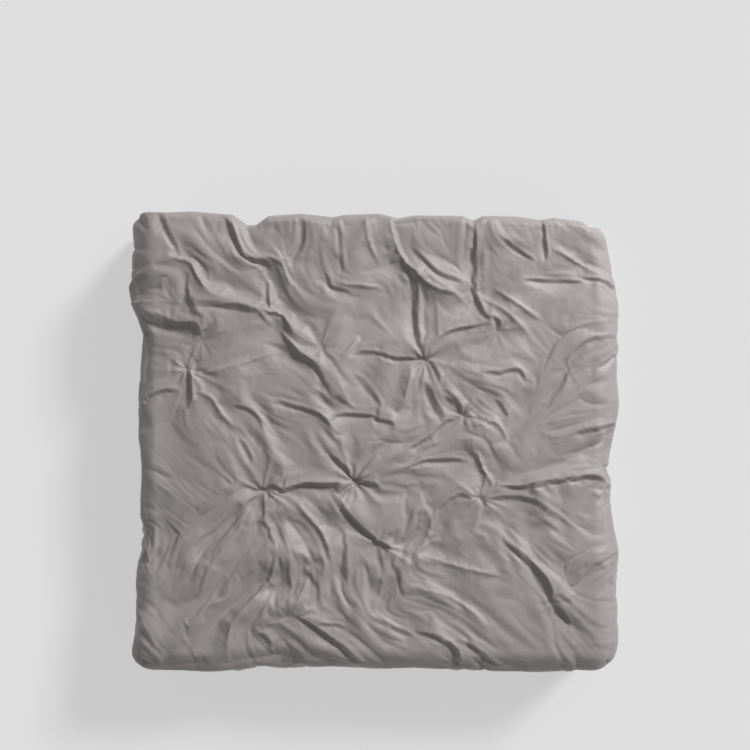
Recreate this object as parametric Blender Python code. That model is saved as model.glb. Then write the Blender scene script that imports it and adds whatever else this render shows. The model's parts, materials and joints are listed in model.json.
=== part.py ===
"""A king-size duvet in a zipped cotton cover, lying over a mattress with its head end turned under.

The duvet hangs down the left side, the right side and the foot of the mattress. It stands on its
hems at Z = 0, with the head end towards +Y. Depth in the loft, called "depth" below, is measured
outwards from the face that lies against the mattress.
"""

import math

import bmesh
import bpy

# The bed under the duvet
MATTRESS_WIDTH = 1.500
COVERED_LENGTH = 1.495
SIDE_GAP = 0.018
DROP = 0.323

# The duvet
LOFT = 0.057
EDGE_RADIUS = 0.020
TURNED_END = 0.250
TURNED_END_EDGE = 0.014
COLUMNS = 4
ROWS = 3
CHAMBER_GAP = 0.0040
BAFFLE_CLOTH = 0.0010
TICKING_CLOTH = 0.0008

# The cover
COVER_CLOTH = 0.0010
COVER_SLACK = 0.0120
LIP_HEIGHT = 0.0100
LIP_THICKNESS = 0.0020
TIE_CORD = 0.0010
TIE_SETBACK = 0.030

# The zip in the foot end of the cover
ZIP_LENGTH = 1.300
ZIP_SLOT_HEIGHT = 0.0160
ZIP_ABOVE_HEM = 0.0070
COIL_WIDTH = 0.0028
COIL_THICKNESS = 0.0022
CHAIN_GAP = 0.0006
TAPE_CLOTH = 0.0006
STOP_LENGTH = 0.0042
STOP_INSET = 0.0035
SLIDER_LENGTH = 0.0100
SLIDER_WALL = 0.0010
SLIDER_PLATE = 0.0020
SLIDER_END_ROOM = 0.0070
CROSSBAR_RADIUS = 0.0006
CROSSBAR_LIFT = 0.0020
PULLER_EYE = 0.0016
PULLER_WIDTH = 0.0034
PULLER_GRIP_WIDTH = 0.0064
PULLER_LENGTH = 0.0260
PULLER_THICKNESS = 0.0012

# Clearances between pieces that touch
LAYER_GAP = 0.0004
PIECE_GAP = 0.0003

# Facets of a quarter turn
HEM_STEPS = 3
EDGE_STEPS = 4
FOLD_STEPS = 4
ROUND_STEPS = 16

# What follows from the sizes above
MID = LOFT / 2
INNER_X = MATTRESS_WIDTH / 2 + SIDE_GAP
HEAD_Y = (COVERED_LENGTH + SIDE_GAP + LOFT) / 2
INNER_FOOT_Y = HEAD_Y - COVERED_LENGTH - SIDE_GAP
FOLD_Y = HEAD_Y - MID
TURNED_Y = HEAD_Y - TURNED_END
TOP_X = INNER_X - EDGE_RADIUS
TOP_FOOT_Y = INNER_FOOT_Y + EDGE_RADIUS
EDGE_Z = DROP - EDGE_RADIUS
COVER_HEM_Z = LIP_HEIGHT + LAYER_GAP + MID
INSERT_HEM_Z = COVER_HEM_Z + COVER_SLACK
TICKING_DEPTH = COVER_CLOTH + LAYER_GAP
FILL_DEPTH = TICKING_DEPTH + TICKING_CLOTH + LAYER_GAP
ZIP_BOTTOM = COVER_HEM_Z + ZIP_ABOVE_HEM
ZIP_TOP = ZIP_BOTTOM + ZIP_SLOT_HEIGHT
ZIP_Z = (ZIP_BOTTOM + ZIP_TOP) / 2
ZIP_BACK = LOFT - COVER_CLOTH + 0.0001
COIL_FRONT = ZIP_BACK + COIL_THICKNESS
CHAIN_HALF = CHAIN_GAP / 2 + COIL_WIDTH
STOP_X = ZIP_LENGTH / 2 - STOP_INSET
SLIDER_X = STOP_X - STOP_LENGTH - SLIDER_END_ROOM - SLIDER_LENGTH / 2
CROSSBAR_DEPTH = COIL_FRONT + PIECE_GAP + SLIDER_PLATE + CROSSBAR_LIFT

COVER_COLOUR = (0.34, 0.32, 0.31)
TICKING_COLOUR = (0.80, 0.79, 0.76)
FILL_COLOUR = (0.85, 0.84, 0.82)
SEAM_COLOUR = (0.30, 0.28, 0.27)
ZIP_COLOUR = (0.28, 0.26, 0.25)
METAL_COLOUR = (0.55, 0.54, 0.52)


def clear_scene():
    for old in list(bpy.data.objects):
        bpy.data.objects.remove(old, do_unlink=True)


def make_material(name, colour, roughness, metallic=0.0):
    material = bpy.data.materials.new(name)
    material.use_nodes = True
    shader = material.node_tree.nodes["Principled BSDF"]
    shader.inputs["Base Color"].default_value = (*colour, 1.0)
    shader.inputs["Roughness"].default_value = roughness
    shader.inputs["Metallic"].default_value = metallic
    return material


def quarter(steps):
    """Angles from 0 to a quarter turn."""
    return [math.pi / 2 * step / steps for step in range(steps + 1)]


# Stations: each one puts a point of a section, given as (outwards, height), in its place


def side_station(side, y):
    return lambda out, z: (side * (INNER_X + out), y, z)


def foot_station(x):
    return lambda out, z: (x, INNER_FOOT_Y - out, z)


def corner_station(side, angle):
    """A station around the upright corner between a side and the foot."""

    def place(out, z):
        radius = EDGE_RADIUS + out
        x = side * (TOP_X + radius * math.cos(angle))
        return (x, TOP_FOOT_Y - radius * math.sin(angle), z)

    return place


def top_station(x):
    """A station across the mattress's top, for a section given as (y, depth)."""
    return lambda y, depth: (x, y, DROP + depth)


# Sections


def hem_point(depth, angle, hem_z):
    """A point where the hem rounds in to the seam, at the middle of the loft."""
    reach = abs(depth - MID)
    side = 1 if depth > MID else -1
    out = MID + side * max(reach * math.sin(angle), PIECE_GAP)
    return (out, hem_z - reach * math.cos(angle))


def edge_point(depth, angle):
    """A point where the duvet bends over the mattress's edge."""
    radius = EDGE_RADIUS + depth
    return (radius * math.cos(angle) - EDGE_RADIUS, EDGE_Z + radius * math.sin(angle))


def side_section(depth, hem_z, heights=()):
    """The line up a hanging side at one depth, from the seam to the mattress's top."""
    hem = [hem_point(depth, angle, hem_z) for angle in quarter(HEM_STEPS)]
    wall = [(depth, height) for height in heights]
    edge = [edge_point(depth, angle) for angle in quarter(EDGE_STEPS)]
    return hem + wall + edge


def drop_fill_section():
    """The closed outline of the filling in a hanging side and over the mattress's edge."""
    outer = side_section(LOFT - FILL_DEPTH, INSERT_HEM_Z)
    inner = side_section(FILL_DEPTH, INSERT_HEM_Z)
    top = CHAMBER_GAP / 2 - EDGE_RADIUS
    outer[-1] = (top, outer[-1][1])
    inner[-1] = (top, inner[-1][1])
    return outer + inner[::-1]


def lip_section():
    half = LIP_THICKNESS / 2
    return [(MID - half, 0), (MID + half, 0), (MID + half, LIP_HEIGHT), (MID - half, LIP_HEIGHT)]


def slit_depth(y):
    """The depth of the line between the duvet and its turned-under end."""
    share = (y - TURNED_Y) / (HEAD_Y - TURNED_Y)
    return TURNED_END_EDGE + share * (MID - TURNED_END_EDGE)


def fold_arc(depth, first, last):
    """Points around the head fold, with the angle counted up from the mattress's side."""
    radius = MID - depth
    for step in range(FOLD_STEPS + 1):
        angle = first + (last - first) * step / FOLD_STEPS
        yield (FOLD_Y + radius * math.cos(angle), MID + radius * math.sin(angle))


def head_fill_section():
    """The top layer of filling over the turned-under end, as (y, depth)."""
    start = TURNED_Y + CHAMBER_GAP / 2
    low = slit_depth(start) + LAYER_GAP
    tilt = math.asin(2 * LAYER_GAP / MID)
    arc = list(fold_arc(FILL_DEPTH, tilt, math.pi / 2))
    return [(start, low)] + arc + [(start, LOFT - FILL_DEPTH)]


def turned_fill_section():
    """The filling of the turned-under end, as (y, depth)."""
    start = TURNED_Y + COVER_CLOTH + LAYER_GAP
    tilt = math.asin(2 * LAYER_GAP / MID)
    arc = list(fold_arc(FILL_DEPTH, -math.pi / 2, -tilt))
    low = TICKING_DEPTH
    arc[0] = (arc[0][0], FILL_DEPTH)
    return [(start, low), (FOLD_Y - MID / 2, low)] + arc + [(start, slit_depth(start) - LAYER_GAP)]


# Solids


def finish_object(name, points, faces, material, place=(0, 0, 0)):
    mesh = bpy.data.meshes.new(name)
    local = [[value - shift for value, shift in zip(point, place)] for point in points]
    mesh.from_pydata(local, [], faces)
    body = bmesh.new()
    body.from_mesh(mesh)
    bmesh.ops.remove_doubles(body, verts=body.verts, dist=1e-6)
    bmesh.ops.recalc_face_normals(body, faces=body.faces)
    body.to_mesh(mesh)
    body.free()
    mesh.materials.append(material)
    made = bpy.data.objects.new(name, mesh)
    made.location = place
    bpy.context.scene.collection.objects.link(made)
    return made


def sweep(name, section, stations, material, place=(0, 0, 0)):
    """A closed section carried through the stations, with both ends capped."""
    size = len(section)
    points = [station(*point) for station in stations for point in section]
    faces = [tuple(range(size)), tuple(range(len(points) - size, len(points)))]
    for ring in range(len(stations) - 1):
        for step in range(size):
            after = (step + 1) % size
            start = ring * size
            faces.append((start + step, start + after, start + size + after, start + size + step))
    return finish_object(name, points, faces, material, place)


def plan_line(out, z, side_ys, foot_xs):
    """Round the bed at one height: down the left side, along the foot and up the right side."""
    stations = [side_station(-1, y) for y in side_ys]
    stations += [corner_station(-1, angle) for angle in quarter(EDGE_STEPS)]
    stations += [foot_station(x) for x in foot_xs]
    stations += [corner_station(1, angle) for angle in reversed(quarter(EDGE_STEPS))]
    stations += [side_station(1, y) for y in reversed(side_ys)]
    return [station(out, z) for station in stations]


def sheet(name, depths, hem_z, top_start_y, material, slot=False):
    """A cloth that covers the top and the hanging sides, between two depths in the loft."""
    side_ys = [FOLD_Y, top_start_y] if top_start_y < FOLD_Y else [FOLD_Y]
    foot_xs = [-ZIP_LENGTH / 2, ZIP_LENGTH / 2] if slot else []
    heights = [ZIP_BOTTOM, ZIP_TOP] if slot else []
    layers = []
    for depth in depths:
        levels = side_section(depth, hem_z, heights)
        layers.append([plan_line(out, z, side_ys, foot_xs) for out, z in levels])
    rows, size = len(layers[0]), len(layers[0][0])
    slot_cell = (HEM_STEPS + 1, len(side_ys) + EDGE_STEPS + 1) if slot else None

    faces = []
    for row in range(rows - 1):
        for step in range(size - 1):
            if (row, step) != slot_cell:
                start = row * size + step
                faces.append((start, start + 1, start + size + 1, start + size))
    first = (rows - 1) * size + len(side_ys) - 1
    faces.append(tuple(range(first, rows * size - len(side_ys) + 1)))

    edges = {edge for face in faces for edge in zip(face, face[1:] + face[:1])}
    behind = rows * size
    rim = [(b, a, a + behind, b + behind) for a, b in sorted(edges) if (b, a) not in edges]
    back = [tuple(point + behind for point in reversed(face)) for face in faces]
    points = [point for layer in layers for line in layer for point in line]
    return finish_object(name, points, faces + back + rim, material)


def head_fold(name, depth, thickness, hem_z, material):
    """The cloth round the head fold, across the top and down both sides."""
    half_turn = math.pi / 2
    section = list(fold_arc(depth, -half_turn, 0))[:-1] + list(fold_arc(depth, 0, half_turn))
    inner = depth + thickness
    back = list(fold_arc(inner, -half_turn, 0))[:-1] + list(fold_arc(inner, 0, half_turn))
    section += back[::-1]
    section = [(max(y, FOLD_Y + PIECE_GAP), value) for y, value in section]

    def at_hem(side, angle):
        def place(y, value):
            reach = abs(value - MID)
            out = MID + (value - MID) * math.sin(angle)
            return (side * (INNER_X + out), y, hem_z - reach * math.cos(angle))

        return place

    def at_edge(side, angle):
        def place(y, value):
            out, z = edge_point(value, angle)
            return (side * (INNER_X + out), y, z)

        return place

    stations = [at_hem(-1, angle) for angle in quarter(HEM_STEPS)[1:]]
    stations += [at_edge(-1, angle) for angle in quarter(EDGE_STEPS)]
    stations += [at_edge(1, angle) for angle in reversed(quarter(EDGE_STEPS))]
    stations += [at_hem(1, angle) for angle in reversed(quarter(HEM_STEPS)[1:])]
    return sweep(name, section, stations, material)


# Sub-parts


def make_cover(material):
    outer = (LOFT, LOFT - COVER_CLOTH)
    sheet("cover_outer_panel", outer, COVER_HEM_Z, FOLD_Y, material, slot=True)
    inner_end = TURNED_Y - PIECE_GAP
    sheet("cover_inner_panel", (COVER_CLOTH, 0), COVER_HEM_Z, inner_end, material)
    head_fold("cover_head_fold", 0, COVER_CLOTH, COVER_HEM_Z, material)
    end = TURNED_END_EDGE - LAYER_GAP
    section = [
        (FOLD_Y, 0),
        (FOLD_Y, COVER_CLOTH),
        (TURNED_Y + COVER_CLOTH, COVER_CLOTH),
        (TURNED_Y + COVER_CLOTH, end),
        (TURNED_Y, end),
        (TURNED_Y, 0),
    ]
    stations = [top_station(side * (TOP_X - PIECE_GAP)) for side in (-1, 1)]
    sweep("cover_turned_end", section, stations, material)


def make_ticking(material):
    outer = LOFT - TICKING_DEPTH
    inner = TICKING_DEPTH
    top_end = TURNED_Y - PIECE_GAP
    sheet("ticking_outer", (outer, outer - TICKING_CLOTH), INSERT_HEM_Z, FOLD_Y, material)
    sheet("ticking_inner", (inner + TICKING_CLOTH, inner), INSERT_HEM_Z, top_end, material)


def column_bounds(column):
    pitch = 2 * TOP_X / COLUMNS
    left = column * pitch - TOP_X
    return (left + CHAMBER_GAP / 2, left + pitch - CHAMBER_GAP / 2)


def row_bounds(row):
    """The two ends in Y of a row of chambers, counted from the foot; the last lies over the fold."""
    pitch = (TURNED_Y - TOP_FOOT_Y) / ROWS
    low = TOP_FOOT_Y + row * pitch
    if row == ROWS:
        return (low + CHAMBER_GAP / 2, FOLD_Y)
    return (low + CHAMBER_GAP / 2, low + pitch - CHAMBER_GAP / 2)


def make_filling(material):
    for column in range(COLUMNS):
        stations = [top_station(x) for x in column_bounds(column)]
        number = column + 1
        for row in range(ROWS):
            start, end = row_bounds(row)
            low, high = FILL_DEPTH, LOFT - FILL_DEPTH
            section = [(start, low), (end, low), (end, high), (start, high)]
            sweep(f"fill_top_row{row + 1}_column{number}", section, stations, material)
        sweep(f"fill_head_column{number}", head_fill_section(), stations, material)
        sweep(f"fill_turned_column{number}", turned_fill_section(), stations, material)
        across = [foot_station(x) for x in column_bounds(column)]
        sweep(f"fill_foot_column{number}", drop_fill_section(), across, material)
    for side, word in ((-1, "left"), (1, "right")):
        for row in range(ROWS + 1):
            along = [side_station(side, y) for y in row_bounds(row)]
            sweep(f"fill_{word}_row{row + 1}", drop_fill_section(), along, material)
        around = [corner_station(side, angle) for angle in quarter(EDGE_STEPS)]
        sweep(f"fill_corner_{word}", drop_fill_section(), around, material)


def make_baffles(material):
    """The walls of cloth between the chambers on top, as one upright grid."""
    half = BAFFLE_CLOTH / 2
    pitch_x = 2 * TOP_X / COLUMNS
    pitch_y = (TURNED_Y - TOP_FOOT_Y) / ROWS
    wall_xs = [number * pitch_x - TOP_X for number in range(1, COLUMNS)]
    wall_ys = [TOP_FOOT_Y + number * pitch_y for number in range(1, ROWS)]
    end = CHAMBER_GAP / 2
    xs = sorted([end - TOP_X, TOP_X - end] + [x + side * half for x in wall_xs for side in (-1, 1)])
    ends_y = [TOP_FOOT_Y + end, TURNED_Y - end]
    ys = sorted(ends_y + [y + side * half for y in wall_ys for side in (-1, 1)])
    body = bmesh.new()
    low = DROP + FILL_DEPTH - LAYER_GAP / 4
    corners = [[body.verts.new((x, y, low)) for y in ys] for x in xs]
    for i in range(len(xs) - 1):
        for j in range(len(ys) - 1):
            if i % 2 or j % 2:
                cell = (corners[i][j], corners[i + 1][j], corners[i + 1][j + 1], corners[i][j + 1])
                body.faces.new(cell)
    made = bmesh.ops.extrude_face_region(body, geom=body.faces[:])
    lifted = [item for item in made["geom"] if isinstance(item, bmesh.types.BMVert)]
    height = LOFT - 2 * FILL_DEPTH + LAYER_GAP / 2
    bmesh.ops.translate(body, verts=lifted, vec=(0, 0, height))
    loose = [vert for vert in body.verts if not vert.link_faces]
    bmesh.ops.delete(body, geom=loose, context="VERTS")
    bmesh.ops.recalc_face_normals(body, faces=body.faces)
    mesh = bpy.data.meshes.new("baffle_walls")
    body.to_mesh(mesh)
    body.free()
    mesh.materials.append(material)
    made = bpy.data.objects.new("baffle_walls", mesh)
    bpy.context.scene.collection.objects.link(made)


def make_seam_lips(material):
    """The seam allowance that stands proud of the hems, in three lengths that meet at the corners."""
    half_corner = [math.pi / 4 * step / 2 for step in range(3)]
    split = PIECE_GAP / (EDGE_RADIUS + MID)
    for side, word in ((-1, "left"), (1, "right")):
        stations = [side_station(side, FOLD_Y)]
        stations += [corner_station(side, angle) for angle in half_corner]
        sweep(f"hem_seam_{word}", lip_section(), stations, material)
    turned = [math.pi / 2 - angle for angle in half_corner]
    turned[-1] += split
    stations = [corner_station(-1, angle) for angle in reversed(turned)]
    stations += [corner_station(1, angle) for angle in turned]
    sweep("hem_seam_foot", lip_section(), stations, material)


def make_corner_ties(material):
    """A cord loop in each corner of the cover, which the corner of the duvet is tied to."""
    low = COVER_HEM_Z - MID + COVER_CLOTH + 2 * PIECE_GAP
    high = INSERT_HEM_Z - MID + TICKING_DEPTH - PIECE_GAP
    for side, word in ((-1, "left"), (1, "right")):
        for y, end in ((TOP_FOOT_Y + TIE_SETBACK, "foot"), (FOLD_Y - TIE_SETBACK, "head")):
            bpy.ops.mesh.primitive_torus_add(
                major_radius=(high - low) / 2 - TIE_CORD,
                minor_radius=TIE_CORD,
                major_segments=ROUND_STEPS,
                minor_segments=6,
                location=(side * (INNER_X + MID), y, (low + high) / 2),
                rotation=(0, math.pi / 2, 0),
            )
            loop = bpy.context.active_object
            loop.name = f"corner_tie_{end}_{word}"
            loop.data.name = loop.name
            loop.data.shade_smooth()
            loop.data.materials.append(material)


def zip_bar(name, x_ends, z_ends, depth_ends, bevel, material):
    """A straight bar of the zip, with chamfered long edges."""
    low, high = z_ends
    back, front = depth_ends
    section = [(back, low), (front - bevel, low), (front, low + bevel)]
    section += [(front, high - bevel), (front - bevel, high), (back, high)]
    return sweep(name, section, [foot_station(x) for x in x_ends], material)


def make_zip(tape, coil, metal):
    end = ZIP_LENGTH / 2 - PIECE_GAP
    coil_end = STOP_X - STOP_LENGTH - PIECE_GAP
    coil_depths = (ZIP_BACK, COIL_FRONT)
    tape_depths = (ZIP_BACK, ZIP_BACK + TAPE_CLOTH)
    inner, outer = CHAIN_GAP / 2, CHAIN_HALF
    tape_start = outer + PIECE_GAP
    slot = ZIP_SLOT_HEIGHT / 2 - PIECE_GAP
    for word, side in (("lower", -1), ("upper", 1)):
        coil_zs = sorted((ZIP_Z + side * inner, ZIP_Z + side * outer))
        tape_zs = sorted((ZIP_Z + side * tape_start, ZIP_Z + side * slot))
        bevel = COIL_THICKNESS / 3
        zip_bar(f"zip_coil_{word}", (-coil_end, coil_end), coil_zs, coil_depths, bevel, coil)
        zip_bar(f"zip_tape_{word}", (-end, end), tape_zs, tape_depths, TAPE_CLOTH / 4, tape)
    for word, side in (("left", -1), ("right", 1)):
        ends = sorted((side * (STOP_X - STOP_LENGTH), side * STOP_X))
        heights = (ZIP_Z - outer, ZIP_Z + outer)
        zip_bar(f"zip_stop_{word}", ends, heights, coil_depths, SLIDER_WALL / 2, metal)


def make_slider(metal):
    """The channel that runs over both coils, with two ears and the bar that holds the puller."""
    place = (SLIDER_X, INNER_FOOT_Y - CROSSBAR_DEPTH, ZIP_Z)
    inner = CHAIN_HALF + PIECE_GAP
    outer = inner + SLIDER_WALL
    back = ZIP_BACK + TAPE_CLOTH + PIECE_GAP
    plate = COIL_FRONT + PIECE_GAP
    front = plate + SLIDER_PLATE
    section = [
        (back, -outer),
        (plate + SLIDER_PLATE / 2, -outer),
        (front, -inner),
        (front, inner),
        (plate + SLIDER_PLATE / 2, outer),
        (back, outer),
        (back, inner),
        (plate, inner),
        (plate, -inner),
        (back, -inner),
    ]
    section = [(depth, ZIP_Z + z) for depth, z in section]
    ends = (SLIDER_X - SLIDER_LENGTH / 2, SLIDER_X + SLIDER_LENGTH / 2)
    slider = sweep("zip_slider", section, [foot_station(x) for x in ends], metal, place)

    ear_inner = PULLER_WIDTH / 2 + PIECE_GAP
    ear_outer = ear_inner + SLIDER_WALL
    ear_half = PULLER_EYE
    ear_front = CROSSBAR_DEPTH + CROSSBAR_RADIUS * 2
    sunk = front - SLIDER_PLATE / 2
    ear = [
        (sunk, ZIP_Z - ear_half),
        (CROSSBAR_DEPTH, ZIP_Z - ear_half),
        (ear_front, ZIP_Z - ear_half / 2),
        (ear_front, ZIP_Z + ear_half / 2),
        (CROSSBAR_DEPTH, ZIP_Z + ear_half),
        (sunk, ZIP_Z + ear_half),
    ]
    bar = []
    for step in range(ROUND_STEPS):
        angle = 2 * math.pi * step / ROUND_STEPS
        depth = CROSSBAR_DEPTH + CROSSBAR_RADIUS * math.cos(angle)
        bar.append((depth, ZIP_Z + CROSSBAR_RADIUS * math.sin(angle)))
    joined = [("ear_left", ear, (-ear_outer, -ear_inner)), ("ear_right", ear, (ear_inner, ear_outer))]
    joined.append(("crossbar", bar, (-ear_outer + SLIDER_WALL / 2, ear_outer - SLIDER_WALL / 2)))
    for word, outline, xs in joined:
        stations = [foot_station(SLIDER_X + x) for x in xs]
        tool = sweep(f"slider_{word}_tool", outline, stations, metal, place)
        tool.hide_render = True
        tool.display_type = "WIRE"
        union = slider.modifiers.new(word, "BOOLEAN")
        union.operation = "UNION"
        union.solver = "EXACT"
        union.object = tool
    return slider


def make_puller(slider, metal):
    """The tab that hangs from the slider's bar, with its origin on the bar's axis."""
    thick = PULLER_THICKNESS / 2
    meet = math.asin(thick / PULLER_EYE)
    outline = []
    for step in range(ROUND_STEPS + 1):
        angle = meet - math.pi / 2 + (2 * math.pi - 2 * meet) * step / ROUND_STEPS
        outline.append((PULLER_EYE * math.cos(angle), PULLER_EYE * math.sin(angle)))
    shoulder = -PULLER_EYE - SLIDER_WALL * 2
    outline += [(-thick, shoulder), (-thick, -PULLER_LENGTH)]
    outline += [(thick, -PULLER_LENGTH), (thick, shoulder)]

    def across(side):
        def place(depth, z):
            wide = PULLER_GRIP_WIDTH if z < shoulder - SLIDER_WALL else PULLER_WIDTH
            return (side * wide / 2, -depth, z)

        return place

    puller = sweep("zip_puller", outline, [across(-1), across(1)], metal)
    bpy.ops.mesh.primitive_cylinder_add(
        vertices=ROUND_STEPS,
        radius=CROSSBAR_RADIUS + PIECE_GAP,
        depth=PULLER_WIDTH * 2,
        rotation=(0, math.pi / 2, 0),
    )
    hole = bpy.context.active_object
    hole.name = "puller_eye_tool"
    hole.hide_render = True
    hole.display_type = "WIRE"
    cut = puller.modifiers.new("eye", "BOOLEAN")
    cut.operation = "DIFFERENCE"
    cut.solver = "EXACT"
    cut.object = hole
    puller.parent = slider
    hole.parent = slider


def main():
    clear_scene()
    cover = make_material("cover_cloth", COVER_COLOUR, 0.85)
    ticking = make_material("ticking_cloth", TICKING_COLOUR, 0.80)
    filling = make_material("fibre_filling", FILL_COLOUR, 0.95)
    seam = make_material("seam_thread", SEAM_COLOUR, 0.85)
    tape = make_material("zip_tape", ZIP_COLOUR, 0.80)
    coil = make_material("zip_coil", ZIP_COLOUR, 0.45)
    metal = make_material("zip_metal", METAL_COLOUR, 0.35, 1.0)
    make_cover(cover)
    make_ticking(ticking)
    make_filling(filling)
    make_baffles(ticking)
    make_seam_lips(seam)
    make_corner_ties(seam)
    make_zip(tape, coil, metal)
    slider = make_slider(metal)
    make_puller(slider, metal)


main()
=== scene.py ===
"""The looks of a duvet in its cotton cover, draped over a bed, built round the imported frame."""

import json
import math

import bmesh
import bpy
import numpy as np
from mathutils import Matrix, Vector

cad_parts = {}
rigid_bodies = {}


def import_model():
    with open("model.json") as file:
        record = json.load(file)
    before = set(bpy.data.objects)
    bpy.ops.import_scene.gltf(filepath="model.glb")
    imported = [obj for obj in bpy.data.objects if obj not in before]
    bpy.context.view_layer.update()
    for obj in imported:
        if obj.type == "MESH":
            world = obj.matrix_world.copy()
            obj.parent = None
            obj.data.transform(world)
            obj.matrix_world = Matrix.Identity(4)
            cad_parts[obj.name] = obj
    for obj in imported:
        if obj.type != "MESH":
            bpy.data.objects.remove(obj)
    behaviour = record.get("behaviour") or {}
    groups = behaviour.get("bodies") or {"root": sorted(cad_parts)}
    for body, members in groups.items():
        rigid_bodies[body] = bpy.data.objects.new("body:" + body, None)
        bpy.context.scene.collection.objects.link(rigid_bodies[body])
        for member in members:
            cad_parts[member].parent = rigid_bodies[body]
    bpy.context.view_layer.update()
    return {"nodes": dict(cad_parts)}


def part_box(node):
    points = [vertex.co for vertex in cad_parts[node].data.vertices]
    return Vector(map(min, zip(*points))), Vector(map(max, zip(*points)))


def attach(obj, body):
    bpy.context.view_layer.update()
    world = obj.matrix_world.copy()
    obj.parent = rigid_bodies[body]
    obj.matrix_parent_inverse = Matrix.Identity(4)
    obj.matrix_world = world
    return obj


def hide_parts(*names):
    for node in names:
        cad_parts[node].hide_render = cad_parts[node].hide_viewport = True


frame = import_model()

bl_info = {
    "name": "Draped duvet",
    "version": (1, 0, 0),
    "blender": (4, 5, 0),
    "location": "3D View > Sidebar > Duvet",
    "description": "Builds a duvet in its creased cover, its zip and its studio",
    "category": "Object",
}

# Places read from the frame, in metres
OUTER_LOW, OUTER_HIGH = (Vector(corner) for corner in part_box("cover_outer_panel"))
HEAD_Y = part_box("cover_head_fold")[1][1]
LIP_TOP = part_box("hem_seam_left")[1][2]
TOP_Z = OUTER_HIGH.z
HALF_LOFT = (TOP_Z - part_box("cover_turned_end")[0][2]) / 2
MID_X = OUTER_HIGH.x - HALF_LOFT
MID_FOOT_Y = OUTER_LOW.y + HALF_LOFT
MID_Z = TOP_Z - HALF_LOFT
ZIP_LOW, ZIP_HIGH = (Vector(corner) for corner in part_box("zip_tape_lower"))
ZIP_TOP_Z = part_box("zip_tape_upper")[1][2]

# Sizes of the cover's shape, in metres
EDGE_ROUND = 0.052  # radius of the mid-surface over the mattress's edges
ON_FACE = 1e-4  # a point this near to a face of the plain box lies on it
HEAD_CALM, HEM_CALM = 0.022, 0.05  # how far in from the rim the relief fades in
CREST_KNEE, CREST_ROOM = 0.006, 0.013  # the height over the loft where crests slow down, and stop
HEAD_CORNERS = ((-1, 0.05), (1, 0.10))  # the side and the radius of the head's corners in plan
HEAD_SHIFT = 0.042  # how far the head's right corner draws in
HEM_START = 0.03  # how far from the head end the hem's lip starts
SLOT_EDGE, SLOT_SINK = 0.0006, 0.0012  # half the slot's edge, and the cloth's place behind the tapes

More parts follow.
